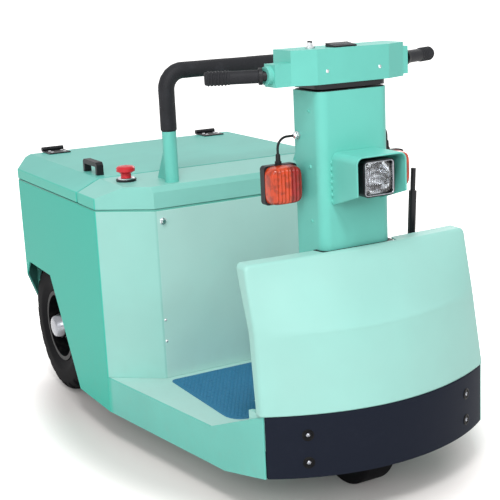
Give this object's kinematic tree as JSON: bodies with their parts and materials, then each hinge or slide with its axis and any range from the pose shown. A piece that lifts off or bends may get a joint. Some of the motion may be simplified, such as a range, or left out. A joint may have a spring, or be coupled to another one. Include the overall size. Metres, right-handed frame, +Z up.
{
  "type": "electric stand-on tow tractor",
  "caption": "Compact electric tow tractor with a mint steel battery body, rear lid, standing platform, bowed front apron, steering column with handlebar, lamps and a rear hitch.",
  "frame": {"origin": "on the ground under the middle of the overall length, on the middle plane", "axes": "+X forward, +Y to the driver's left, +Z up"},
  "size_m": [1.5829, 0.828, 1.083],
  "materials": {
    "body_paint": "semi-gloss pale mint green powder coat",
    "chassis_paint": "satin mint green paint on welded plate",
    "bumper_paint": "smooth dark blue-grey coat on thick plate",
    "black_paint": "satin black paint on steel",
    "rim_paint": "satin black wheel paint",
    "black_plastic": "fine-textured black moulding",
    "red_plastic": "glossy red moulding",
    "amber_lens": "ribbed orange lens",
    "clear_lens": "clear pressed lens",
    "lamp_chrome": "mirror-bright reflector",
    "mat_rubber": "speckled blue-grey rubber",
    "foam": "closed-cell foam and soft rubber",
    "lead_rubber": "flexible cable sheath",
    "tyre_rubber": "matt black tyre rubber",
    "battery_case": "dark moulded cells in a steel case",
    "cast_grey": "grey painted casting",
    "bright_steel": "plain bright metal"
  },
  "bodies": {
    "root": {"chassis_frame": "chassis_paint", "battery_tray": "chassis_paint", "wheel_well_right": "chassis_paint", "wheel_well_left": "chassis_paint", "side_panel_right": "body_paint", "side_panel_left": "body_paint", "rear_panel": "body_paint", "front_panel": "body_paint", "console_cover": "body_paint", "battery": "battery_case", "rear_axle": "black_paint", "hitch": "black_paint", "platform_deck": "body_paint", "sill_right": "body_paint", "sill_left": "body_paint", "floor_mat": "mat_rubber", "wheel_house": "chassis_paint", "apron": "body_paint", "bumper": "bumper_paint", "column": "body_paint", "headlamp_hood": "body_paint", "headlamp_housing": "black_plastic", "headlamp_reflector": "lamp_chrome", "headlamp_lens": "clear_lens", "signal_brackets": "body_paint", "signal_bodies": "black_plastic", "signal_lenses": "amber_lens", "signal_leads": "lead_rubber", "backrest_posts": "body_paint", "backrest_foam": "foam", "stop_button_base": "black_plastic", "stop_button": "red_plastic", "brake_lever": "black_paint", "hinge_bases": "black_paint"},
    "lid_body": {"lid": "body_paint", "lid_handle": "black_plastic", "hinge_straps": "black_paint"},
    "steering": {"steering_head": "body_paint", "handlebar": "black_plastic", "grips": "foam", "display": "black_plastic", "key_switch": "bright_steel", "steering_shaft": "black_paint", "drive_unit": "cast_grey", "drive_motor": "black_paint"},
    "front_wheel": {"front_tyre": "tyre_rubber", "front_hub": "cast_grey"},
    "rear_wheel_right": {"rear_tyre_right": "tyre_rubber", "rear_rim_right": "rim_paint"},
    "rear_wheel_left": {"rear_tyre_left": "tyre_rubber", "rear_rim_left": "rim_paint"}
  },
  "joints": [
    {"name": "lid_hinge", "type": "hinge", "parent": "root", "child": "lid_body", "pos_m": [-0.7215, 0, 0.717], "axis": [0, -1, 0], "range_deg": [0, 80]},
    {"name": "steering_pivot", "type": "hinge", "parent": "root", "child": "steering", "pos_m": [0.5635, 0, 0.33], "axis": [0, 0, 1], "range_deg": [-60, 60]},
    {"name": "front_wheel_spin", "type": "hinge", "parent": "steering", "child": "front_wheel", "pos_m": [0.5855, 0, 0.127], "axis": [0, 1, 0], "continuous": true},
    {"name": "rear_wheel_right_spin", "type": "hinge", "parent": "root", "child": "rear_wheel_right", "pos_m": [-0.4965, -0.325, 0.203], "axis": [0, 1, 0], "continuous": true},
    {"name": "rear_wheel_left_spin", "type": "hinge", "parent": "root", "child": "rear_wheel_left", "pos_m": [-0.4965, 0.325, 0.203], "axis": [0, 1, 0], "continuous": true}
  ]
}
